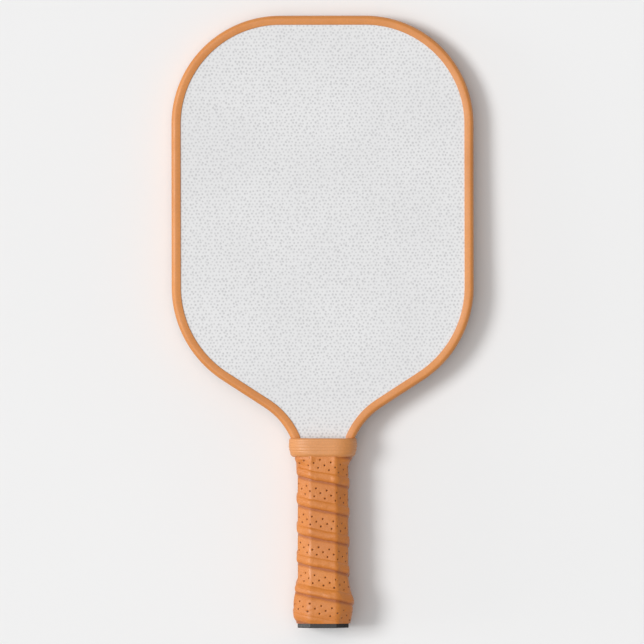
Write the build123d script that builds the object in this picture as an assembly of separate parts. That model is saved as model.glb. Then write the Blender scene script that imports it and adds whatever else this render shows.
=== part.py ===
from build123d import *

# Pickleball paddle: a honeycomb sandwich blade in one piece with its handle tongue, a rubber edge guard round the
# blade, two half-octagon pallets on the tongue, a flared butt cap, a spirally wound cushion grip and a rubber collar.
# Millimetres. +Y runs from the butt to the tip, +Z is the normal of the front face and X runs across the face.
# The origin is the centre of the butt cap's flat end, on the handle's axis. The layers are mirrored about Z = 0.

import math
import os

# Blade outline, measured on the outside of the edge guard
LENGTH = 406.4  # 16 in, butt end to tip
HALF_WIDTH = 100.3
CORNER_R = 72.0  # the two corners at the tip
SHOULDER_R = 74.0  # where the sides turn in towards the handle
SHOULDER_Y = 226.4  # height of the shoulder arcs' centres
TAPER_DEG = 57.0  # slope of the straight run to the throat, from the handle's axis
THROAT_R = 47.3
NECK_HALF = 17.2  # half-width where the throat arcs end

# Sandwich, thicknesses from the middle outwards
CORE_T = 13.0
BOND_T = 0.10
SHEET_T = 0.55
FILM_T = 0.10
CELL = 8.0  # honeycomb pitch, centre to centre
CELL_WALL = 0.35
RIM_WALL = 0.40  # solid rim that closes the cut cells
SMALLEST_CELL = 9.0  # area under which a cut cell is left solid, square mm

# Edge guard
GUARD_WALL = 2.0
GUARD_TAPE = 0.2
GUARD_LIP_T = 1.2
GUARD_WIDTH = 6.1  # seen from the front, outside to lip edge
GUARD_OUTER_R = 3.2
GUARD_END_Y = 118.0  # its two ends lie under the collar

# Handle: an octagon made of the tongue and two pallets
HANDLE_HALF_W = 15.0
HANDLE_HALF_T = 13.25
HANDLE_TOP_HALF = 8.25  # half-width of the front flat
PALLET_TAPE = 0.15
PALLET_RAMP_Y = (113.0, 123.0)  # the pallets slope down to the face here
PALLET_NOSE_Z = 9.0

# Butt cap
CAP_PLATE = 3.0
CAP_RIM = (3.0, 1.95)  # height of the bare rim, and how far it stands out from the handle's octagon
CAP_CORNER_R = 0.8  # the rim's eight long corners
CAP_END_R = 0.6  # the edge round the flat end
CAP_SKIRT = ((3.0, 1.0), (9.0, 2.3), (13.0, 2.8), (17.0, 2.8), (21.0, 2.4), (25.0, 1.5), (31.0, 0.5))  # y, stand-out
BADGE_W, BADGE_H, BADGE_R = 20.0, 16.0, 5.0
BADGE_T = 1.0
BADGE_GAP = 0.15  # round the badge, in its recess
STAPLE_Y = 25.5
STAPLE_X = 5.0
STAPLE_CROWN = 6.0
STAPLE_WIRE = 0.8
STAPLE_TOP_Z = 14.3
STAPLE_TIP_Z = 9.0

# Grip and collar
GRIP_T = 1.9
GRIP_TOP_Y = 117.0
GRIP_EDGE_R = 2.5
FINISH_TAPE_T = 0.25
FINISH_TAPE_Y = (113.8, 116.8)
COLLAR_Y = (113.2, 125.3)
COLLAR_BASE = (43.8, 32.4)
COLLAR_TOP = (45.4, 33.0)
COLLAR_CORNER_R = 9.0
COLLAR_EDGE_R = 1.4

BLANK_INSET = GUARD_WALL + GUARD_TAPE
BLANK_HALF_T = CORE_T / 2 + BOND_T + SHEET_T + FILM_T
FAR = 2 * LENGTH


def outline(inset, bottom=CAP_PLATE):
    """The paddle's flat outline as a face, moved in by inset, with the handle's end at y = bottom."""
    taper = math.radians(TAPER_DEG)
    corner_centre = (HALF_WIDTH - CORNER_R, LENGTH - CORNER_R)
    shoulder_centre = (HALF_WIDTH - SHOULDER_R, SHOULDER_Y)
    throat_x = NECK_HALF + THROAT_R
    run = (SHOULDER_R + THROAT_R) * math.cos(taper) + shoulder_centre[0] - throat_x
    throat_y = SHOULDER_Y - (SHOULDER_R + THROAT_R) * math.sin(taper) - run / math.tan(taper)
    top = LENGTH - inset
    side = HALF_WIDTH - inset
    neck = NECK_HALF - inset
    corner = CenterArc(corner_centre, CORNER_R - inset, 90, -90)
    shoulder = CenterArc(shoulder_centre, SHOULDER_R - inset, 0, -TAPER_DEG)
    throat = CenterArc((throat_x, throat_y), THROAT_R + inset, 180 - TAPER_DEG, TAPER_DEG)
    right = [
        Line((0, top), corner @ 0),
        corner,
        Line((side, corner_centre[1]), (side, SHOULDER_Y)),
        shoulder,
        Line(shoulder @ 1, throat @ 0),
        throat,
        Line((neck, throat_y), (neck, bottom)),
        Line((neck, bottom), (0, bottom)),
    ]
    left = [mirror(edge, about=Plane.YZ) for edge in right]
    return make_face(Curve() + right + left)


def slab(face, low, high):
    """The face as a plate from z = low to z = high."""
    return Pos(0, 0, low) * extrude(face, high - low)


def both_sides(part):
    """The part on the front, and its mirror image on the back."""
    return part, mirror(part, about=Plane.XY)


def above(y):
    """A block that holds everything further from the butt than y."""
    return Pos(0, y + FAR / 2, 0) * Box(FAR, FAR, FAR)


def cross_plane(y):
    """The plane square to the handle at height y, with local x along X."""
    return Plane(origin=(0, y, 0), x_dir=(1, 0, 0), z_dir=(0, 1, 0))


def octagon(y, stand_out, edge_r=0.0):
    """The handle's octagon at height y, grown outwards by stand_out, with its corners rounded by edge_r."""
    rise, back = HANDLE_HALF_T - BLANK_HALF_T, HANDLE_HALF_W - HANDLE_TOP_HALF
    normal = math.atan2(back, rise)
    half_w = HANDLE_HALF_W + stand_out
    half_t = HANDLE_HALF_T + stand_out
    side = BLANK_HALF_T + stand_out * math.tan(normal / 2)
    top = HANDLE_TOP_HALF + stand_out * math.tan((math.pi / 2 - normal) / 2)
    quarter = [(half_w, side), (top, half_t)]
    points = [(x, z) for x, z in quarter]
    points += [(-x, z) for x, z in reversed(quarter)]
    points += [(-x, -z) for x, z in quarter]
    points += [(x, -z) for x, z in reversed(quarter)]
    face = make_face(Polyline(*points, close=True))
    if edge_r:
        face = fillet(face.vertices(), edge_r)
    return cross_plane(y) * face


def tube_along(rings):
    """A solid through octagons given as (y, stand-out) pairs, straight from each to the next."""
    return loft([octagon(y, stand_out) for y, stand_out in rings], ruled=True)


def handle_prism(stand_out, low, high, edge_r=0.0):
    """The handle's octagon, grown by stand_out, from y = low to y = high."""
    return extrude(octagon(low, stand_out, edge_r), high - low)


def honeycomb_core():
    """Open hexagonal cells through the whole thickness. Cells that the edge cuts are closed by a thin rim."""
    blank = outline(BLANK_INSET)
    inside = outline(BLANK_INSET + RIM_WALL, CAP_PLATE + RIM_WALL)
    hexagon = RegularPolygon((CELL - CELL_WALL) / 2, 6, major_radius=False, rotation=30)
    hole = make_face(hexagon.wire())
    rows = math.ceil(LENGTH / (CELL * math.sqrt(3) / 2))
    columns = math.ceil(HALF_WIDTH / CELL)
    holes = []
    for row in range(rows):
        shift = CELL / 2 * (row % 2)
        for column in range(-columns, columns + 1):
            cell = Pos(column * CELL + shift, row * CELL * math.sqrt(3) / 2, 0) * hole
            corners_in = [inside.is_inside(vertex.center()) for vertex in cell.vertices()]
            if all(corners_in):
                holes.append(cell.face().outer_wire())
            elif any(corners_in):
                holes += [f.outer_wire() for f in (cell & inside).faces() if f.area > SMALLEST_CELL]
    return slab(Face(blank.face().outer_wire(), holes), -CORE_T / 2, CORE_T / 2)


def layer(below, thickness):
    """One sheet of the sandwich in the blank's outline, on the front and on the back."""
    return both_sides(slab(outline(BLANK_INSET), below, below + thickness))


def edge_guard():
    """A channel round the blade with rounded outer edges, cut away where the pallets and the handle begin."""
    half_t = BLANK_HALF_T + GUARD_LIP_T
    body = slab(outline(0), -half_t, half_t) & above(GUARD_END_Y)
    rims = body.faces().filter_by(Axis.Z).edges().filter_by(lambda e: e.center().Y > GUARD_END_Y + 1)
    body = fillet(rims, GUARD_OUTER_R)
    body -= slab(outline(GUARD_WIDTH), -half_t, half_t)
    body -= slab(outline(GUARD_WALL), -BLANK_HALF_T, BLANK_HALF_T)
    footprint = Box(2 * HANDLE_HALF_W, 2 * PALLET_RAMP_Y[1], FAR)
    return body - footprint


def guard_adhesive():
    """The bonding strip between the blade's rim and the guard's wall."""
    ring = outline(GUARD_WALL) - outline(BLANK_INSET)
    return slab(ring, -BLANK_HALF_T, BLANK_HALF_T) & above(GUARD_END_Y)


def pallet():
    """The front half-octagon of the handle, ramped down to the face at its upper end."""
    low_z = BLANK_HALF_T + PALLET_TAPE
    ramp_start, nose = PALLET_RAMP_Y
    body = handle_prism(0, CAP_PLATE, nose)
    side = make_face(
        Polyline(
            (CAP_PLATE, low_z),
            (nose, low_z),
            (nose, PALLET_NOSE_Z),
            (ramp_start, HANDLE_HALF_T),
            (CAP_PLATE, HANDLE_HALF_T),
            close=True,
        )
    )
    keep = extrude(Plane.YZ * side, HANDLE_HALF_W, both=True)
    return body & keep


def pallet_adhesive():
    """The sheet of tape under a pallet, trimmed to the handle's octagon."""
    nose = PALLET_RAMP_Y[1]
    length = nose - CAP_PLATE
    centre = (0, CAP_PLATE + length / 2, BLANK_HALF_T + PALLET_TAPE / 2)
    sheet = Pos(*centre) * Box(2 * HANDLE_HALF_W, length, PALLET_TAPE)
    return sheet & handle_prism(0, CAP_PLATE, nose)


def staple(x, front):
    """One wire staple driven through the cap's skirt into a pallet."""
    leg_length = STAPLE_TOP_Z - STAPLE_TIP_Z
    crown = Pos(0, 0, STAPLE_TOP_Z - STAPLE_WIRE / 2) * Box(STAPLE_CROWN, STAPLE_WIRE, STAPLE_WIRE)
    body = crown
    for side in (-1, 1):
        leg_x = side * (STAPLE_CROWN - STAPLE_WIRE) / 2
        body += Pos(leg_x, 0, STAPLE_TOP_Z - leg_length / 2) * Box(STAPLE_WIRE, STAPLE_WIRE, leg_length)
    placed = Pos(x, STAPLE_Y, 0) * body
    return placed if front else mirror(placed, about=Plane.XY)


def badge(gap=0.0):
    """A blank rounded plate, flush with the butt cap's end. Grown by gap, it is the recess that holds the plate."""
    shape = RectangleRounded(BADGE_W + 2 * gap, BADGE_H + 2 * gap, BADGE_R + gap)
    return extrude(cross_plane(0) * shape, BADGE_T)


def butt_cap(staples):
    """A moulded cup over the end of the handle: a bare rim at the end and a flared skirt under the grip."""
    rim_y, rim_out = CAP_RIM
    rim = handle_prism(rim_out, 0, rim_y, CAP_CORNER_R)
    end_face = rim.faces().sort_by(Axis.Y)[0]
    body = fillet(end_face.edges(), CAP_END_R) + tube_along(CAP_SKIRT)
    body -= handle_prism(0, CAP_PLATE, FAR)
    body -= badge(BADGE_GAP)
    for wire in staples:
        body -= wire
    return body


def grip_tape():
    """The wound grip as one shell over the skirt and the handle. It thins where the neck begins to widen."""
    skirt = [(y, stand_out + GRIP_T) for y, stand_out in CAP_SKIRT]
    last_y = CAP_SKIRT[-1][0]
    body = tube_along(skirt) + handle_prism(GRIP_T, last_y, GRIP_TOP_Y, GRIP_EDGE_R)
    body -= tube_along(CAP_SKIRT)
    body -= handle_prism(0, 0, GRIP_TOP_Y)
    return body - slab(outline(BLANK_INSET), -BLANK_HALF_T, BLANK_HALF_T)


def finishing_tape():
    """The thin band that holds down the end of the grip."""
    low, high = FINISH_TAPE_Y
    outer = handle_prism(GRIP_T + FINISH_TAPE_T, low, high, GRIP_EDGE_R + FINISH_TAPE_T)
    return outer - handle_prism(GRIP_T, low, high, GRIP_EDGE_R)


def collar(under):
    """The rubber collar, moulded to whatever lies under it."""
    sections = []
    for y, size in zip(COLLAR_Y, (COLLAR_BASE, COLLAR_TOP)):
        sections.append(cross_plane(y) * RectangleRounded(*size, COLLAR_CORNER_R))
    body = loft(sections)
    ends = body.faces().filter_by(Axis.Y)
    body = fillet(ends.edges(), COLLAR_EDGE_R)
    for piece in under:
        body -= piece
    return body


def main():
    bond_z = CORE_T / 2
    sheet_z = bond_z + BOND_T
    film_z = sheet_z + SHEET_T
    staples = [staple(x, front) for front in (True, False) for x in (-STAPLE_X, STAPLE_X)]
    parts = {
        "honeycomb_core": honeycomb_core(),
        "edge_guard": edge_guard(),
        "edge_guard_adhesive": guard_adhesive(),
        "butt_cap": butt_cap(staples),
        "butt_cap_staples": Compound(children=staples),
        "butt_cap_badge": badge(),
        "grip_tape": grip_tape(),
        "finishing_tape": finishing_tape(),
    }
    parts["front_bond_film"], parts["back_bond_film"] = layer(bond_z, BOND_T)
    parts["front_face_sheet"], parts["back_face_sheet"] = layer(sheet_z, SHEET_T)
    parts["front_graphic_film"], parts["back_graphic_film"] = layer(film_z, FILM_T)
    pallet_front = pallet()
    for wire in staples[:2]:
        pallet_front -= wire
    parts["handle_pallet_front"], parts["handle_pallet_back"] = both_sides(pallet_front)
    parts["pallet_adhesive_front"], parts["pallet_adhesive_back"] = both_sides(pallet_adhesive())
    under = ("edge_guard", "edge_guard_adhesive", "grip_tape", "finishing_tape")
    under += ("handle_pallet_front", "handle_pallet_back", "pallet_adhesive_front", "pallet_adhesive_back")
    blank = slab(outline(BLANK_INSET), -BLANK_HALF_T, BLANK_HALF_T)
    parts["throat_collar"] = collar([parts[name] for name in under] + [blank])

    os.makedirs("parts", exist_ok=True)
    for name, part in parts.items():
        export_step(part, f"parts/{name}.step")


main()
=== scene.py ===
import math

import bpy
import numpy as np
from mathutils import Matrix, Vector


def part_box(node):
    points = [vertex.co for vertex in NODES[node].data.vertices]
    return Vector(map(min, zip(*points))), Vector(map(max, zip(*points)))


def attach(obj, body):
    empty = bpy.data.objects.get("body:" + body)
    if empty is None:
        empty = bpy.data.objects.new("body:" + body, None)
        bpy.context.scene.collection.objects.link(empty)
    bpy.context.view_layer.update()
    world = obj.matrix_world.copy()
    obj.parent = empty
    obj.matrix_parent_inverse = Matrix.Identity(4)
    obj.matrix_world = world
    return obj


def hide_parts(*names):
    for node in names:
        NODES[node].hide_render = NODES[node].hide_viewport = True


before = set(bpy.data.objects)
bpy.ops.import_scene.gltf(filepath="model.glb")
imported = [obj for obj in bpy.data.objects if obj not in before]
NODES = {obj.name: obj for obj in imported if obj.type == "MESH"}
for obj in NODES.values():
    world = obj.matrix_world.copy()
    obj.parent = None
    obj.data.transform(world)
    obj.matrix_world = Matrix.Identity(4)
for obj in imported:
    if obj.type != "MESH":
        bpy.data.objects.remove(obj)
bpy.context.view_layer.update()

# The frame is the CAD's: +Y runs from the butt to the tip and +Z is the normal of the front face.
# Mesh lengths are in millimetres until a mesh is written. Materials, lights and the camera use metres.
MM = 0.001
NOISE_SIZE = 256


def smooth(t):
    """Eased step from 0 to 1 as t goes from 0 to 1."""
    t = np.clip(t, 0.0, 1.0)
    return t * t * (3.0 - 2.0 * t)


def value_noise(x, y, seed):
    """Smooth noise from -1 to 1 on a unit lattice that repeats every NOISE_SIZE cells."""
    table = np.random.default_rng(seed).uniform(-1.0, 1.0, (NOISE_SIZE, NOISE_SIZE))
    x0, y0 = np.floor(x).astype(int), np.floor(y).astype(int)
    fx, fy = smooth(x - x0), smooth(y - y0)
    x0, y0 = x0 % NOISE_SIZE, y0 % NOISE_SIZE
    x1, y1 = (x0 + 1) % NOISE_SIZE, (y0 + 1) % NOISE_SIZE
    a = table[x0, y0] * (1 - fx) + table[x1, y0] * fx
    b = table[x0, y1] * (1 - fx) + table[x1, y1] * fx
    return a * (1 - fy) + b * fy


# ---------------------------------------------------------------- meshes

def grid_faces(rows, columns, wrap_rows=False, wrap_columns=False, first=0):
    """Quads over a grid of points numbered row by row."""
    r = np.arange(rows if wrap_rows else rows - 1)
    c = np.arange(columns if wrap_columns else columns - 1)
    r, c = np.meshgrid(r, c, indexing="ij")
    r2, c2 = (r + 1) % rows, (c + 1) % columns
    quads = np.stack([r * columns + c, r * columns + c2, r2 * columns + c2, r2 * columns + c], axis=-1)
    return quads.reshape(-1, 4) + first


def make_piece(name, points, faces, sharp=35.0):
    """A mesh object from points in millimetres, smooth but for edges sharper than the angle."""
    mesh = bpy.data.meshes.new(name)
    mesh.from_pydata((np.asarray(points) * MM).tolist(), [], [list(map(int, f)) for f in faces])
    mesh.validate()
    mesh.shade_smooth()
    mesh.set_sharp_from_angle(angle=math.radians(sharp))
    piece = bpy.data.objects.new(name, mesh)
    bpy.context.scene.collection.objects.link(piece)
    return piece


def point_value(piece, name, values):
    """A named number on every vertex, for the material to read."""
    attribute = piece.data.attributes.new(name, "FLOAT", "POINT")
    attribute.data.foreach_set("value", np.asarray(values, np.float32))


# ---------------------------------------------------------------- materials

class Shader:
    """A small helper that wires nodes onto one Principled shader."""

    def __init__(self, name, roughness=0.5, **sockets):
        self.material = bpy.data.materials.new(name)
        self.material.use_nodes = True
        self.tree = self.material.node_tree
        self.shader = self.tree.nodes["Principled BSDF"]
        self.shader.inputs["Roughness"].default_value = roughness
        for socket, value in sockets.items():
            self.shader.inputs[socket.replace("_", " ")].default_value = value
        self.place = self.tree.nodes.new("ShaderNodeTexCoord").outputs["Object"]

    def node(self, kind, inputs=None, **settings):
        made = self.tree.nodes.new("ShaderNode" + kind)
        for key, value in settings.items():
            setattr(made, key, value)
        for key, value in (inputs or {}).items():
            if isinstance(value, bpy.types.NodeSocket):
                self.tree.links.new(value, made.inputs[key])
            else:
                made.inputs[key].default_value = value
        return made

    def noise(self, scale, detail=2.0, roughness=0.5, place=None):
        inputs = {"Vector": place or self.place, "Scale": scale}
        inputs.update({"Detail": detail, "Roughness": roughness})
        return self.node("TexNoise", inputs).outputs["Fac"]

    def vector(self, operation, a, b=None):
        inputs = {0: a} if b is None else {0: a, 1: b}
        return self.node("VectorMath", inputs, operation=operation).outputs["Vector"]

    def dot_rows(self, spacing, jitter, shift, wobble):
        """Soft dots, one to a cell, moved, sized and toned by chance, with edges frayed by wobble."""
        scaled = self.vector("DIVIDE", self.place, (*spacing, 1.0))
        scaled = self.vector("ADD", self.vector("MULTIPLY", scaled, (1.0, 1.0, 0.0)), (*shift, 0.0))
        cell = self.vector("FLOOR", scaled)
        chance = self.node("TexWhiteNoise", {"Vector": self.vector("ADD", cell, (*shift, 7.0))})
        moved = self.vector("SUBTRACT", chance.outputs["Color"], (0.5, 0.5, 0.5))
        moved = self.vector("MULTIPLY", moved, (2 * jitter, 2 * jitter, 0.0))
        inside = self.vector("SUBTRACT", self.vector("FRACTION", scaled), (0.5, 0.5, 0.0))
        offset = self.vector("SUBTRACT", self.vector("MULTIPLY", inside, (*spacing, 0.0)), moved)
        gap = self.node("VectorMath", {0: offset}, operation="LENGTH").outputs["Value"]
        gap = self.math("ADD", gap, wobble)
        size = self.ramp(chance.outputs["Value"], 0.0, 1.0, *DOT_RADII, "LINEAR")
        near = self.math("SUBTRACT", 1.0, self.math("DIVIDE", gap, size))
        blue = self.node("SeparateColor", {0: chance.outputs["Color"]}).outputs[2]
        tone = self.ramp(blue, 0.0, 1.0, FAINTEST_DOT, 1.0)
        return self.math("MULTIPLY", self.ramp(near, 0.0, DOT_SOFTNESS), tone)

    def stretched(self, x, y, z):
        """Object coordinates scaled along each axis."""
        return self.node("Mapping", {"Vector": self.place, "Scale": (x, y, z)}).outputs["Vector"]

    def ramp(self, value, low, high, to_low=0.0, to_high=1.0, kind="SMOOTHSTEP"):
        inputs = {"Value": value, "From Min": low, "From Max": high}
        inputs.update({"To Min": to_low, "To Max": to_high})
        return self.node("MapRange", inputs, interpolation_type=kind).outputs["Result"]

    def math(self, operation, a, b):
        return self.node("Math", {0: a, 1: b}, operation=operation).outputs[0]

    def mix(self, factor, a, b, blend="MIX"):
        made = self.node("Mix", {"Factor": factor}, data_type="RGBA", blend_type=blend)
        for socket, value in ((6, a), (7, b)):
            if isinstance(value, bpy.types.NodeSocket):
                self.tree.links.new(value, made.inputs[socket])
            else:
                made.inputs[socket].default_value = (*value, 1.0)
        return made.outputs[2]

    def shade(self, colour, level):
        """The colour multiplied by a grey level."""
        grey = self.node("CombineColor", {0: level, 1: level, 2: level}).outputs[0]
        return self.mix(1.0, colour, grey, "MULTIPLY")

    def number(self, name):
        return self.node("Attribute", attribute_name=name).outputs["Fac"]

    def bump(self, height, distance, strength=1.0, under=None):
        inputs = {"Height": height, "Distance": distance, "Strength": strength}
        if under is not None:
            inputs["Normal"] = under
        return self.node("Bump", inputs).outputs["Normal"]

    def link(self, output, socket):
        self.tree.links.new(output, self.shader.inputs[socket])


def rubber(name, dark, light, **sockets):
    """Soft moulded rubber: a slow colour drift and a fine matte grain."""
    s = Shader(name, **sockets)
    drift = s.noise(28.0, 3.0)
    fine = s.noise(900.0, 3.0, 0.6)
    colour = s.mix(s.ramp(drift, 0.3, 0.7), dark, light)
    s.link(s.shade(colour, s.ramp(fine, 0.35, 0.75, 0.93, 1.05)), "Base Color")
    s.link(s.ramp(s.noise(60.0, 4.0), 0.3, 0.7, 0.46, 0.6), "Roughness")
    s.link(s.bump(fine, 0.00012, 0.6), "Normal")
    return s.material


DOT_SPACING, DOT_JITTER = 0.00248, 0.00052
DOT_RADII = (0.00085, 0.00118)  # smallest and largest, out to where a dot has faded
DOT_SOFTNESS = 0.75  # share of the radius over which a dot fades
DOT_RAGGED = 0.00045
FAINTEST_DOT = 0.6


def printed_face(name):
    """The playing surface: a pale satin coat with soft grey dots on two interleaved, jittered grids."""
    s = Shader(name, roughness=0.5, Specular_IOR_Level=0.4)
    wobble = s.ramp(s.noise(900.0, 2.0), 0.0, 1.0, -DOT_RAGGED, DOT_RAGGED, "LINEAR")
    spacing = (DOT_SPACING, DOT_SPACING * math.sqrt(3))
    even = s.dot_rows(spacing, DOT_JITTER, (0.0, 0.0), wobble)
    odd = s.dot_rows(spacing, DOT_JITTER, (0.5, 0.5), wobble)
    dot = s.math("MAXIMUM", even, odd)
    drift = s.ramp(s.noise(14.0, 3.0), 0.3, 0.7)
    paper = s.mix(drift, (0.70, 0.70, 0.704), (0.73, 0.73, 0.733))
    s.link(s.mix(dot, paper, (0.53, 0.53, 0.538)), "Base Color")
    s.link(s.ramp(s.noise(90.0, 3.0), 0.3, 0.7, 0.42, 0.55), "Roughness")
    grit = s.bump(s.noise(2600.0, 2.0, 0.7), 0.00004, 0.5)
    s.link(s.bump(dot, 0.00006, 0.5, grit), "Normal")
    return s.material


def tape_leather(name):
    """The cushioned grip: matte pebbled tape, darker in its pores, with painted shade in its pricked holes,
    along its lower edge and under each lap.
    """
    s = Shader(name, roughness=0.5, Specular_IOR_Level=0.8)
    drift = s.noise(45.0, 4.0, 0.6)
    body = s.mix(s.ramp(drift, 0.3, 0.7), (0.545, 0.158, 0.009), (0.615, 0.193, 0.018))
    cells = {"Vector": s.place, "Scale": 1500.0, "Randomness": 1.0}
    pores = s.node("TexVoronoi", cells).outputs["Distance"]
    body = s.shade(body, s.ramp(pores, 0.1, 0.6, 0.9, 1.04))
    # Painted shade under each lap, along the rounded lower edge and on the tape's back.
    body = s.mix(s.number("painted_shade"), body, (0.33, 0.08, 0.012))
    # Painted shade in the pricked holes, on top of their real depth.
    body = s.mix(s.number("pit"), body, (0.12, 0.025, 0.004))
    s.link(body, "Base Color")
    s.link(s.ramp(s.noise(120.0, 3.0), 0.3, 0.7, 0.42, 0.58), "Roughness")
    creases = s.bump(s.noise(420.0, 5.0, 0.65), 0.0003, 0.5)
    s.link(s.bump(pores, 0.00012, 0.6, creases), "Normal")
    return s.material


def moulded_plastic(name, dark, light, roughness):
    """Hard moulded plastic with a fine spark-eroded grain."""
    s = Shader(name, roughness=roughness)
    fine = s.noise(1400.0, 3.0, 0.6)
    s.link(s.mix(s.ramp(s.noise(60.0, 4.0), 0.3, 0.7), dark, light), "Base Color")
    patches = s.ramp(s.noise(150.0, 3.0), 0.3, 0.7, roughness - 0.06, roughness + 0.08)
    s.link(patches, "Roughness")
    s.link(s.bump(fine, 0.00008, 0.7), "Normal")
    return s.material


def grained_wood(name):
    """Light straight-grained wood, its grain along the handle."""
    s = Shader(name, roughness=0.6)
    grain = s.noise(300.0, 5.0, 0.6, s.stretched(1.0, 0.06, 1.0))
    s.link(s.mix(s.ramp(grain, 0.3, 0.7), (0.50, 0.34, 0.18), (0.66, 0.50, 0.30)), "Base Color")
    s.link(s.bump(grain, 0.0002, 0.4), "Normal")
    return s.material


def brushed_metal(name):
    """Drawn steel wire with fine lines along its length."""
    s = Shader(name, roughness=0.3, Metallic=1.0)
    lines = s.noise(2500.0, 3.0, 0.6, s.stretched(0.08, 1.0, 1.0))
    s.link(s.mix(lines, (0.45, 0.45, 0.46), (0.70, 0.70, 0.71)), "Base Color")
    s.link(s.ramp(lines, 0.3, 0.7, 0.25, 0.42), "Roughness")
    return s.material


def woven_laminate(name, dark, light):
    """Fibre laminate: two crossing sets of fine strands under resin."""
    s = Shader(name, roughness=0.4)
    thread = {"Vector": s.place, "Scale": 160.0, "Distortion": 0.4, "Detail": 1.0}
    strands = [s.node("TexWave", thread, bands_direction=axis).outputs["Fac"] for axis in ("X", "Y")]
    weave = s.math("MULTIPLY", *strands)
    s.link(s.mix(weave, dark, light), "Base Color")
    s.link(s.bump(weave, 0.0001, 0.5), "Normal")
    return s.material


def dress(node, material):
    """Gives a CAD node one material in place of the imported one."""
    mesh = NODES[node].data
    mesh.materials.clear()
    mesh.materials.append(material)


# ---------------------------------------------------------------- blade outline and edge guard

# The blade's outline: tangent straights and arcs from the tip, round the head and in to the neck
HALF_WIDTH, CORNER_R, SHOULDER_R, SHOULDER_Y = 100.3, 72.0, 74.0, 226.4
TAPER, THROAT_R, NECK_HALF = math.radians(57.0), 47.3, 17.2
LENGTH = 406.4

PANEL_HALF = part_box("front_graphic_film")[1].z / MM
GUARD_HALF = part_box("edge_guard")[1].z / MM
GUARD_END_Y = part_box("edge_guard")[0].y / MM
GUARD_WALL, GUARD_LIP = 2.0, 6.1  # inset of the channel's inner wall, and of the end of its lip
ROLL_R, ROLL_Z = 2.6, 5.4  # the rolled outside edge: its width, and the height where it starts
LIP_R = 0.45  # the small radius where the lip ends
DOME_END, DOME_DROP, DOME_POWER = GUARD_LIP - LIP_R, 0.4, 1.6
OUTLINE_STEP = 1.5
SEAT_GAP = 0.01  # between the lip's underside and the face
UNDER_COLLAR_Y = 124.0  # below this the lip is cut back to the side of the pallets
PALLET_ROOM = 15.2


def half_outline(step):
    """Points and outward normals of the right half of the blade's edge, from the tip to the neck."""
    corner = (HALF_WIDTH - CORNER_R, LENGTH - CORNER_R)
    shoulder = (HALF_WIDTH - SHOULDER_R, SHOULDER_Y)
    throat_x = NECK_HALF + THROAT_R
    run = (SHOULDER_R + THROAT_R) * math.cos(TAPER) + shoulder[0] - throat_x
    throat_y = SHOULDER_Y - (SHOULDER_R + THROAT_R) * math.sin(TAPER) - run / math.tan(TAPER)
    points, normals = [], []

    def straight(a, b, normal):
        count = max(2, int(math.dist(a, b) / (4 * step)))
        for t in np.linspace(0, 1, count, endpoint=False):
            points.append((a[0] + (b[0] - a[0]) * t, a[1] + (b[1] - a[1]) * t))
            normals.append(normal)

    def arc(centre, radius, start, end, side=1.0):
        count = max(3, int(abs(end - start) * radius / step))
        for angle in np.linspace(start, end, count, endpoint=False):
            normal = (math.cos(angle), math.sin(angle))
            points.append((centre[0] + radius * normal[0], centre[1] + radius * normal[1]))
            normals.append((side * normal[0], side * normal[1]))

    quarter = math.pi / 2
    straight((0, LENGTH), (corner[0], LENGTH), (0, 1))
    arc(corner, CORNER_R, quarter, 0)
    straight((HALF_WIDTH, corner[1]), (HALF_WIDTH, SHOULDER_Y), (1, 0))
    arc(shoulder, SHOULDER_R, 0, -TAPER)
    leave = (shoulder[0] + SHOULDER_R * math.cos(TAPER), SHOULDER_Y - SHOULDER_R * math.sin(TAPER))
    meet = (throat_x - THROAT_R * math.cos(TAPER), throat_y + THROAT_R * math.sin(TAPER))
    straight(leave, meet, (math.cos(TAPER), -math.sin(TAPER)))
    arc((throat_x, throat_y), THROAT_R, math.pi - TAPER, math.pi, -1.0)
    return np.array(points), np.array(normals)


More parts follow.
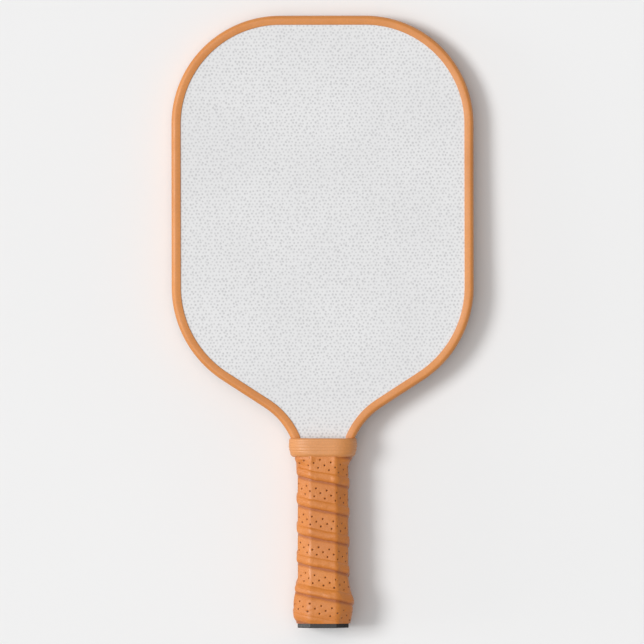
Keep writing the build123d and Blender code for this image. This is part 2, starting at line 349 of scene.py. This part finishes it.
def edge_guard():
    """The moulded guard: a channel with rolled outside edges and a domed lip with a small radius."""
    points, normals = half_outline(OUTLINE_STEP)
    last = np.argmax(points[:, 1] < GUARD_END_Y)
    cut = (points[last - 1, 1] - GUARD_END_Y) / (points[last - 1, 1] - points[last, 1])
    ends = points[last - 1] + cut * (points[last] - points[last - 1])
    points = np.vstack([points[:last], ends])
    normals = np.vstack([normals[:last], normals[last]])
    points = np.vstack([points[:0:-1] * (-1, 1), points])
    normals = np.vstack([normals[:0:-1] * (-1, 1), normals])
    under_collar = points[:, 1] < UNDER_COLLAR_Y

    side = [(0.0, z) for z in np.linspace(0, ROLL_Z, 6)[:-1]]
    rise = GUARD_HALF - ROLL_Z
    quarter = np.linspace(0, math.pi / 2, 15)
    roll = [(ROLL_R * (1 - math.cos(a)), ROLL_Z + rise * math.sin(a)) for a in quarter]
    across = np.linspace(ROLL_R, DOME_END, 8)[1:]
    fall = DOME_DROP * ((across - ROLL_R) / (DOME_END - ROLL_R)) ** DOME_POWER
    dome = list(zip(across, GUARD_HALF - fall))
    lip_z = GUARD_HALF - DOME_DROP
    quarter = np.linspace(0, math.pi / 2, 6)[1:]
    lip = [(DOME_END + LIP_R * math.sin(a), lip_z - LIP_R * (1 - math.cos(a))) for a in quarter]
    seat = PANEL_HALF + SEAT_GAP
    inside = [(GUARD_LIP, seat), (GUARD_WALL, seat), (GUARD_WALL, 0.0)]
    half = side + roll + dome + lip + inside
    profile = half + [(d, -z) for d, z in half[-2:0:-1]]
    inset = np.array([d for d, _ in profile])
    height = np.array([z for _, z in profile])

    insets = np.tile(inset, (len(points), 1))
    room = np.abs(points[:, :1]) - PALLET_ROOM
    insets = np.where(under_collar[:, None], np.minimum(insets, room), insets)
    xy = points[:, None, :] - normals[:, None, :] * insets[:, :, None]
    z = np.broadcast_to(height, insets.shape)
    vertices = np.concatenate([xy, z[:, :, None]], axis=2).reshape(-1, 3)
    faces = grid_faces(len(points), len(profile), wrap_columns=True).tolist()
    count = len(profile)
    faces.append(list(range(count)))
    faces.append(list(range((len(points) - 1) * count, len(points) * count))[::-1])
    piece = make_piece("guard_moulding", vertices, faces)
    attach(piece, "root")
    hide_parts("edge_guard")
    return piece


# ---------------------------------------------------------------- handle

# The bare handle's octagon: half its width and thickness, and half of its front and side flats
HANDLE_HALF_W, HANDLE_HALF_T, HANDLE_TOP_HALF, HANDLE_SIDE_HALF = 15.0, 13.25, 8.25, 7.25
HANDLE_CORNER_R = 2.0
GRIP_REFERENCE = 1.9  # stand-out at which lengths round the handle are measured


class Ring:
    """The handle's octagon with rounded corners. Distance round it grows towards +X on the front flat."""

    def __init__(self):
        w, t, a, b = HANDLE_HALF_W, HANDLE_HALF_T, HANDLE_TOP_HALF, HANDLE_SIDE_HALF
        corners = [(-a, t), (a, t), (w, b), (w, -b), (a, -t), (-a, -t), (-w, -b), (-w, b)]
        self.pieces = []
        at = 0.0
        flats = []
        for i, p in enumerate(corners):
            q = corners[(i + 1) % 8]
            along = np.array([q[0] - p[0], q[1] - p[1]])
            length = np.linalg.norm(along)
            along /= length
            flats.append((np.array(p), along, length, np.array([-along[1], along[0]])))
        radius = HANDLE_CORNER_R + GRIP_REFERENCE
        for i, (p, along, length, normal) in enumerate(flats):
            before, after = flats[i - 1][3], flats[(i + 1) % 8][3]
            trim_start = HANDLE_CORNER_R * math.tan(math.acos(before @ normal) / 2)
            turn = math.acos(np.clip(normal @ after, -1, 1))
            trim_end = HANDLE_CORNER_R * math.tan(turn / 2)
            start = p + along * trim_start - normal * HANDLE_CORNER_R
            flat = length - trim_start - trim_end
            self.pieces.append((at, flat, start, along, normal, 0.0))
            at += flat
            self.pieces.append((at, turn * radius, start + along * flat, along, normal, turn))
            at += turn * radius
        self.girth = at
        self.origin = self.pieces[0][1] / 2

    def walk(self, u):
        """Skeleton point and outward normal at distance u from the middle of the front flat."""
        u = (np.asarray(u) + self.origin) % self.girth
        point, normal = np.zeros(u.shape + (2,)), np.zeros(u.shape + (2,))
        for at, length, start, along, out, turn in self.pieces:
            here = (u >= at) & (u <= at + length)
            t = u[here] - at
            if turn:
                angle = -turn * t / length
                cos, sin = np.cos(angle)[:, None], np.sin(angle)[:, None]
                normal[here] = out * cos + np.array([-out[1], out[0]]) * sin
                point[here] = start
            else:
                normal[here] = out
                point[here] = start + along * t[:, None]
        return point, normal


RING = Ring()
FLARE_H, FLARE_Y, FLARE_RUN = 2.85, 34.0, 18.0  # the grip over the cap's skirt
DRAW_IN, DRAW_Y, DRAW_RUN = 1.85, 13.0, 9.8  # how its cut end draws in again


def place_on_handle(u, y, stand_out):
    """Points that stand out from the bare handle by stand_out, at distance u round it and height y."""
    point, normal = RING.walk(u)
    reach = (HANDLE_CORNER_R + stand_out)[..., None]
    flat = point + normal * reach
    return np.stack([flat[..., 0], y, flat[..., 1]], axis=-1)


def flare(y):
    """How far the cap's skirt lifts the grip near the butt, and how it draws in again at the cut end."""
    rise = FLARE_H * smooth((FLARE_Y - y) / FLARE_RUN)
    tuck = DRAW_IN * np.clip((DRAW_Y - y) / DRAW_RUN, 0, None) ** 1.7
    return rise - tuck


# The tape: its pitch up the handle, its width and its thickness
PITCH = 19.3
TAPE_WIDTH = 25.2
TAPE_THICK = 1.8
TAPE_STEP = 0.30  # between the mesh's columns, round the handle
BUTT_Y, TOP_Y = 2.9, 116.5  # its level ends
FIRST_SEAM_Y = 97.2  # where the second wrap's lower edge crosses the middle of the front
FRONT_LEAN = 0.7  # how far the seams stray from an even helix, to slope more on the front
OVERRUN = 6.0  # extra length at each end, which the level cuts take away
SHORTEST_CUT = 0.3  # columns cut shorter than this are left out
TURN_SWAY, SLOW_WAVE, QUICK_WAVE = 0.45, 0.30, 0.20  # how the lower edge strays from the helix

# Across the tape, by distance from its lower edge
ROUND_W, ROUND_DROP = 2.6, 1.15  # the rounded lower edge
RIDGE_W, RIDGE_SPREAD, RIDGE_H = 3.2, 2.4, 0.45  # where the tape is proudest
LAP_W, LAP_BLEND, LAP_H = 6.6, 1.7, 0.35  # the part that lies over the wrap below
TUCK_W, TUCK_BLEND = 16.6, 2.8  # where it dips under the wrap above
HIDDEN_W, HIDDEN_BLEND = 19.4, 5.8
TUCK_DROP = 0.5
UNDER_GAP, HANDLE_GAP = 0.03, 0.05  # under the tape's back, over the wrap below and over the handle
UNDER_RAMP = (0.6, 0.7)  # how far either side of the overlap's end the back steps down
THINNEST = 0.15
CREASE_W, CREASE_SPREAD, CREASE_DEPTH = 6.3, 0.4, 0.17
CREASE_STRAY = 0.25
CALM_W, CALM_BLEND = 17.5, 2.0  # above this the tape is flat and hidden
SHADE_UNDER_LAP, SHADE_AT_EDGE, SHADE_ON_BACK = 0.85, 0.45, 0.6  # painted shade under a lap, along the lower edge and on the tape's back
GATHER_H, GATHER_W = 0.20, 3.4  # small pleats along the lower edge
MARKS = (  # stations across the tape, closer together where it curves or is pricked
    ROUND_W * np.linspace(0, 1, 11)[:-1] ** 1.8,
    np.linspace(ROUND_W, 7.0, 13)[:-1],
    np.linspace(7.0, 15.6, 31)[:-1],
    np.linspace(15.6, 19.6, 9)[:-1],
    np.linspace(19.6, TAPE_WIDTH, 5),
)
UNDER_MARKS = (0, 8, 14, 18, 20, 23, 38, 52, 60, 64)  # the stations that the underside keeps

# Pricked holes, in three slanting rows
HOLE_ROWS = (13.8, 11.1, 8.4)  # above the lower edge
HOLES_PER_TURN = 15.38
HOLE_SHIFT, HOLE_PHASE = 2.97, -1.9  # from one row to the next round the handle, and of the first row
HOLE_R = 0.5
HOLE_STRAY, HOLE_SPREAD = 0.18, 0.14
HOLE_DEPTH, DIMPLE_DEPTH, DIMPLE_R = 0.85, 0.07, 1.25
HOLE_LIP, HOLE_WALL = 1.22, 0.55  # where a hole's slope starts and how wide it is, in hole radii
HOLE_LIMITS = (0.5, 17.6, 0.8)  # holes fade in over the first, and out from the second over the third

# Swelling just below the collar, on the two sides
BULGE_Y, BULGE_BLEND = 106.5, 6.0
BULGE_X, BULGE_RUN, BULGE_H = 4.0, 9.0, 1.9


def tape_drop(u):
    """How far the tape's lower edge has dropped by u: a helix, a little steeper on the front."""
    turn = u / RING.girth
    return PITCH * turn + FRONT_LEAN * np.sin(2 * math.pi * turn)


def lap(w):
    """Height of the tape's face above the bare handle, at distance w from its lower edge."""
    lifted = LAP_H * smooth((LAP_W - w) / LAP_BLEND)
    lifted = lifted + RIDGE_H * np.exp(-((w - RIDGE_W) / RIDGE_SPREAD) ** 2)
    rounded = -ROUND_DROP * (1 - np.sqrt(1 - np.clip(1 - w / ROUND_W, 0, 1) ** 2))
    tucked = -TUCK_DROP * smooth((w - TUCK_W) / TUCK_BLEND)
    tucked = tucked - TUCK_DROP * smooth((w - HIDDEN_W) / HIDDEN_BLEND)
    return TAPE_THICK + lifted + rounded + tucked


def underside(w):
    """Height of the tape's back: over the wrap below near its lower edge, then down on the handle."""
    over_wrap = lap(w + PITCH) + UNDER_GAP
    overlap = TAPE_WIDTH - PITCH
    ramp_start, ramp_end = overlap - UNDER_RAMP[0], overlap + UNDER_RAMP[1]
    height = np.where(w < overlap, over_wrap, HANDLE_GAP)
    ramp = over_wrap * (ramp_end - w) / (ramp_end - ramp_start) + HANDLE_GAP
    height = np.where((w >= ramp_start) & (w < ramp_end), ramp, height)
    return np.minimum(height, lap(w) - THINNEST)


def wrinkles(u, y, w):
    """Creases, puckers and small pleats, strongest on the laps, at the flare and at the throat."""
    on_lap, on_flare, at_throat = smooth((7.5 - w) / 3.0), smooth((30 - y) / 14), smooth((y - 100) / 10)
    slack = 0.35 + 0.65 * on_lap + 0.5 * on_flare + 0.6 * at_throat
    # Long creases, short ones, and puckers in scattered patches
    along, across = value_noise(u / 9.0, y / 3.0, 21), value_noise(u / 4.0, y / 1.6, 22)
    pucker = value_noise(u / 2.6 + y / 5.0, y / 2.6, 25) * smooth(0.5 + value_noise(u / 13.0, y / 6.0, 26))
    crumple = slack * (0.13 * along + 0.07 * across + 0.07 * pucker)
    crumple = crumple + 0.06 * value_noise(u / 14.0, y / 9.0, 23)
    gather = GATHER_H * value_noise(u / 2.3, y / 9.0, 27) * smooth(0.7 + value_noise(u / 15.0, y / 8.0, 28))
    crumple = crumple + gather * np.exp(-((w / GATHER_W) ** 2))
    crumple = crumple * (1 - smooth((w - CALM_W) / CALM_BLEND))
    # The crease just inside the lap, where the wrap below ends under it
    stray = CREASE_STRAY * value_noise(u / 11.0, w * 0, 24)
    return crumple - CREASE_DEPTH * np.exp(-((w - CREASE_W - stray) / CREASE_SPREAD) ** 2)


def pricked(u, y, w, column_u, edge):
    """How deep each point lies in a hole, and in the soft dimple round it, both from 0 to 1."""
    spacing = RING.girth / HOLES_PER_TURN
    pit = np.zeros_like(w)
    dimple = np.zeros_like(w)
    for index, row in enumerate(HOLE_ROWS):
        k = np.round((u - HOLE_PHASE - index * HOLE_SHIFT) / spacing)
        hole_u = HOLE_PHASE + index * HOLE_SHIFT + k * spacing
        stray = HOLE_STRAY * value_noise(k * 0.73 + 5.0 * index, k * 0.31, 31)
        hole_y = np.interp(hole_u, column_u, edge) + row + stray
        radius = HOLE_R * (1 + HOLE_SPREAD * value_noise(k * 0.57, k * 0.9 + index, 32))
        gap = np.hypot(u - hole_u, y - hole_y)
        pit = np.maximum(pit, smooth((radius * HOLE_LIP - gap) / (radius * HOLE_WALL)))
        dimple = np.maximum(dimple, np.exp(-((gap / DIMPLE_R) ** 2)))
    start, end, fade = HOLE_LIMITS
    pit = pit * (1 - smooth((w - end) / fade)) * smooth((w - start) / start)
    return pit, dimple


def grip_tape():
    """One cushioned tape wound up the handle, each turn lapped over the one below, its ends cut level."""
    girth = RING.girth
    u_low = (FIRST_SEAM_Y - TOP_Y) / PITCH * girth - OVERRUN
    u_high = (FIRST_SEAM_Y + TAPE_WIDTH - BUTT_Y) / PITCH * girth + OVERRUN
    u = np.arange(u_low, u_high, TAPE_STEP)
    edge = FIRST_SEAM_Y - tape_drop(u)
    wave = SLOW_WAVE * value_noise(u / 17.0, u * 0 + 3.3, 11)
    wave += QUICK_WAVE * value_noise(u / 5.0, u * 0 + 8.1, 12)
    wave += TURN_SWAY * np.sin(2 * math.pi * u / girth)
    low = edge + wave
    w_low = np.clip(BUTT_Y - low, 0, TAPE_WIDTH)
    w_high = np.clip(TOP_Y - low, 0, TAPE_WIDTH)
    keep = w_high - w_low > SHORTEST_CUT
    u, low, edge, w_low, w_high = u[keep], low[keep], edge[keep], w_low[keep], w_high[keep]

    share = np.concatenate(MARKS) / TAPE_WIDTH
    w = w_low[:, None] + (w_high - w_low)[:, None] * share[None, :]
    y = low[:, None] + w
    uu = np.broadcast_to(u[:, None], w.shape)
    pit, dimple = pricked(uu, y, w, u, edge)

    throat = smooth((y - BULGE_Y) / BULGE_BLEND)
    sideways = RING.walk(uu)[0][..., 0]
    both_sides = smooth((sideways - BULGE_X) / BULGE_RUN) + smooth((-sideways - BULGE_X) / BULGE_RUN)
    lift = flare(y) + BULGE_H * throat * both_sides
    top = lap(w) + wrinkles(uu, y, w) + lift - HOLE_DEPTH * pit - DIMPLE_DEPTH * dimple
    bottom = underside(w) + lift
    rows = list(UNDER_MARKS)
    top_points = place_on_handle(uu, y, top)
    bottom_points = place_on_handle(uu[:, rows], y[:, rows], bottom[:, rows])

    n, m, k = len(u), len(share), len(rows)
    ring_points = np.concatenate([top_points, bottom_points[:, ::-1]], axis=1).reshape(-1, 3)
    faces = grid_faces(n, m + k, wrap_columns=True).tolist()
    count = m + k
    faces.append(list(range(count))[::-1])
    faces.append(list(range((n - 1) * count, n * count)))
    piece = make_piece("grip_wrap", ring_points, faces, sharp=50.0)
    pad = np.zeros((n, k))
    # The hole depth also sets the painted shade in the holes' colour.
    point_value(piece, "pit", np.concatenate([pit, pad], axis=1).reshape(-1))
    # Painted shade: darkest just below the edge of the wrap above, lighter along the tape's own lower edge,
    # and on its hidden back.
    painted_shade = SHADE_UNDER_LAP * smooth((w - 17.0) / 2.0) + SHADE_AT_EDGE * (1 - smooth(w / 1.3))
    point_value(piece, "painted_shade", np.concatenate([painted_shade, pad + SHADE_ON_BACK], axis=1).reshape(-1))
    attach(piece, "root")
    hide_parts("grip_tape")
    return piece


COLLAR_Y = (113.3, 125.9)
RIB_H, RIB_PITCH, RIB_PHASE = 0.08, 1.95, 1.1
BOTTOM_R, TOP_R = 2.9, 1.1
COLLAR_CORNERS = 7.5
COLLAR_COLUMNS = 264
SQUARENESS = 0.35  # how boxy the band's outline is between its corners
COLLAR_WAVER = 0.10  # how far the band's edges wander along Y
COLLAR_W, COLLAR_WIDENING, COLLAR_T, COLLAR_THICKENING, COLLAR_SWELL = 21.2, 1.25, 16.1, 0.35, 0.3


def throat_collar():
    """The stretched rubber band over the throat, with soft moulded ribs round it."""
    low_y, high_y = COLLAR_Y
    profile = []  # (half width, half thickness, corner radius, y)

    def outer(y):
        t = (y - low_y) / (high_y - low_y)
        swell = COLLAR_SWELL * math.sin(math.pi * min(1.0, t * 1.15))
        half_w = COLLAR_W + COLLAR_WIDENING * smooth(t * 1.5) + swell
        return half_w, COLLAR_T + COLLAR_THICKENING * t + 0.6 * swell

    def rib(y):
        return RIB_H * math.cos(2 * math.pi * (y - low_y - RIB_PHASE) / RIB_PITCH)

    profile.append((16.9, 14.9, 3.0, low_y + 0.9))  # the lower edge, turned in to the grip
    profile.append((19.2, 15.1, 5.0, low_y + 0.05))
    for a in np.linspace(0, math.pi / 2, 9):
        y = low_y + BOTTOM_R * (1 - math.cos(a))
        w, t = outer(low_y + BOTTOM_R)
        draw_in = BOTTOM_R * (1 - math.sin(a))
        profile.append((w - draw_in, t - 0.8 * draw_in, 8.0, y))
    for y in np.linspace(low_y + BOTTOM_R, high_y - TOP_R, 56)[1:-1]:
        w, t = outer(y)
        ease = smooth((y - low_y - BOTTOM_R) / 0.8) * smooth((high_y - TOP_R - y) / 0.8)
        stand_out = rib(y) * float(ease)
        profile.append((w + stand_out, t + stand_out, COLLAR_CORNERS, y))
    for a in np.linspace(math.pi / 2, 0, 8):
        w, t = outer(high_y - TOP_R)
        y = high_y - TOP_R * (1 - math.cos(a))
        draw_in = TOP_R * (1 - math.sin(a))
        profile.append((w - draw_in, t - draw_in, 8.0, y))
    profile.append((21.4, 12.0, 6.0, high_y - 0.25))  # the upper edge, turned in round the panel
    profile.append((21.0, 8.2, 2.2, high_y - 0.8))
    profile.append((20.2, 7.3, 1.0, high_y - 1.3))
    profile.append((18.0, 7.3, 1.0, low_y + 6.0))

    angles = np.linspace(0, 2 * math.pi, COLLAR_COLUMNS, endpoint=False)
    vertices = []
    for half_w, half_t, radius, y in profile:
        core_w, core_t = half_w - radius, half_t - radius
        for angle in angles:
            c, s = math.cos(angle), math.sin(angle)
            across, up = (abs(v) ** SQUARENESS * math.copysign(1, v) for v in (c, s))
            waver = COLLAR_WAVER * math.sin(3 * angle + 1.0) * (1 if y > low_y + 1 else 0.4)
            vertices.append((core_w * across + radius * c, y + waver, core_t * up + radius * s))
    faces = grid_faces(len(profile), COLLAR_COLUMNS, wrap_rows=True, wrap_columns=True)
    piece = make_piece("collar_band", vertices, faces, sharp=60.0)
    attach(piece, "root")
    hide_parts("throat_collar")
    return piece


# ---------------------------------------------------------------- assembly

guard = edge_guard()
guard.data.materials.append(
    rubber("guard_rubber_look", (0.60, 0.205, 0.03), (0.66, 0.24, 0.044), Specular_IOR_Level=0.85)
)
wrap = grip_tape()
wrap.data.materials.append(tape_leather("grip_tape_look"))
band = throat_collar()
band.data.materials.append(
    rubber("collar_rubber_look", (0.62, 0.235, 0.05), (0.68, 0.27, 0.07), Specular_IOR_Level=1.0)
)

face_look = printed_face("dotted_face_look")
cap_look = moulded_plastic("cap_plastic_look", (0.010, 0.008, 0.007), (0.018, 0.014, 0.012), 0.3)
badge_look = moulded_plastic("badge_plastic_look", (0.040, 0.040, 0.042), (0.052, 0.052, 0.054), 0.24)
core_look = moulded_plastic("core_plastic_look", (0.58, 0.62, 0.66), (0.70, 0.73, 0.76), 0.5)
glue_look = moulded_plastic("adhesive_look", (0.66, 0.60, 0.45), (0.76, 0.71, 0.57), 0.4)
LOOKS = {
    "front_graphic_film": face_look,
    "back_graphic_film": face_look,
    "butt_cap": cap_look,
    "butt_cap_badge": badge_look,
    "butt_cap_staples": brushed_metal("staple_steel_look"),
    "handle_pallet_front": grained_wood("pallet_wood_look"),
    "honeycomb_core": core_look,
    "front_face_sheet": woven_laminate("laminate_look", (0.40, 0.41, 0.42), (0.62, 0.63, 0.64)),
    "finishing_tape": rubber("finishing_tape_look", (0.55, 0.20, 0.05), (0.62, 0.24, 0.07)),
}
LOOKS["handle_pallet_back"] = LOOKS["handle_pallet_front"]
LOOKS["back_face_sheet"] = LOOKS["front_face_sheet"]
for side in ("front", "back"):
    LOOKS[side + "_bond_film"] = LOOKS["pallet_adhesive_" + side] = glue_look
LOOKS["edge_guard_adhesive"] = glue_look
for node, look in LOOKS.items():
    dress(node, look)

# ---------------------------------------------------------------- floor, light and camera

bpy.context.view_layer.update()


BUTT_PART, HEAD_PART = 0.05, 0.2  # the floor touches one point below the first and one above the second


def lowest_line(pieces):
    """The slope along Y, and the height at the butt, of the flat floor that these pieces rest on."""
    co = np.concatenate([np.array([v.co for v in p.data.vertices]) for p in pieces])
    butt = co[co[:, 1] < BUTT_PART]
    head = co[co[:, 1] > HEAD_PART]
    slope = 0.0
    for _ in range(20):
        b = butt[np.argmin(butt[:, 2] - slope * butt[:, 1])]
        h = head[np.argmin(head[:, 2] - slope * head[:, 1])]
        slope = (h[2] - b[2]) / (h[1] - b[1])
    return slope, b[2] - slope * b[1]


FLOOR_HALF, FLOOR_GAP = 30.0, 0.00005
floor_slope, floor_z = lowest_line([guard, wrap])
floor_mesh = bpy.data.meshes.new("floor")
signs = ((-1, -1), (1, -1), (1, 1), (-1, 1))
square = [(x * FLOOR_HALF, y * FLOOR_HALF) for x, y in signs]
corners = [(x, y, floor_z + floor_slope * y - FLOOR_GAP) for x, y in square]
floor_mesh.from_pydata(corners, [], [(0, 1, 2, 3)])
floor = bpy.data.objects.new("floor", floor_mesh)
bpy.context.scene.collection.objects.link(floor)
floor_look = Shader("floor_look", roughness=0.85, Specular_IOR_Level=0.2)
mottle = floor_look.ramp(floor_look.noise(3.0, 2.0), 0.3, 0.7)
floor_look.link(floor_look.mix(mottle, (0.80, 0.80, 0.80), (0.81, 0.81, 0.81)), "Base Color")
floor_mesh.materials.append(floor_look.material)


def sun(name, azimuth, elevation, irradiance, width):
    """A sun at an azimuth (0 is +X, 90 is +Y) and elevation, and its width in the sky, all in degrees."""
    light = bpy.data.lights.new(name, "SUN")
    light.energy = irradiance
    light.angle = math.radians(width)
    lamp = bpy.data.objects.new(name, light)
    lamp.rotation_euler = (0, math.radians(90 - elevation), math.radians(azimuth))
    bpy.context.scene.collection.objects.link(lamp)


sun("key_left", 174.0, 51.0, 1.74, 20.0)
sun("fill_left", 178.0, 7.0, 0.62, 26.0)
sun("overhead", 178.0, 77.0, 1.0, 60.0)

ROOM_LIGHT, SEEN_WHITE = 0.32, 0.87  # the surroundings as a light, and as the camera sees them
world = bpy.data.worlds.new("studio")
bpy.context.scene.world = world
world.use_nodes = True
sky = world.node_tree
background = sky.nodes["Background"]
background.inputs["Color"].default_value = (1.0, 1.0, 1.0, 1.0)
seen = sky.nodes.new("ShaderNodeLightPath").outputs["Is Camera Ray"]
level = sky.nodes.new("ShaderNodeMapRange")
level.inputs["To Min"].default_value = ROOM_LIGHT
level.inputs["To Max"].default_value = SEEN_WHITE
sky.links.new(seen, level.inputs["Value"])
sky.links.new(level.outputs["Result"], background.inputs["Strength"])

LENS, SENSOR = 600.0, 36.0  # a long lens held far off, in millimetres
FRAME_WIDTH = 0.4275  # how much the picture takes in at the face, in metres
AIM, ROLL = (-0.0005, 0.203), math.radians(-0.08)
camera_data = bpy.data.cameras.new("camera")
camera_data.lens = LENS
camera_data.sensor_width = SENSOR
camera = bpy.data.objects.new("camera", camera_data)
camera.location = (*AIM, PANEL_HALF * MM + FRAME_WIDTH * LENS / SENSOR)
camera.rotation_euler = (0.0, 0.0, ROLL)
bpy.context.scene.collection.objects.link(camera)
bpy.context.scene.camera = camera
bpy.context.scene.view_settings.view_transform = "Standard"
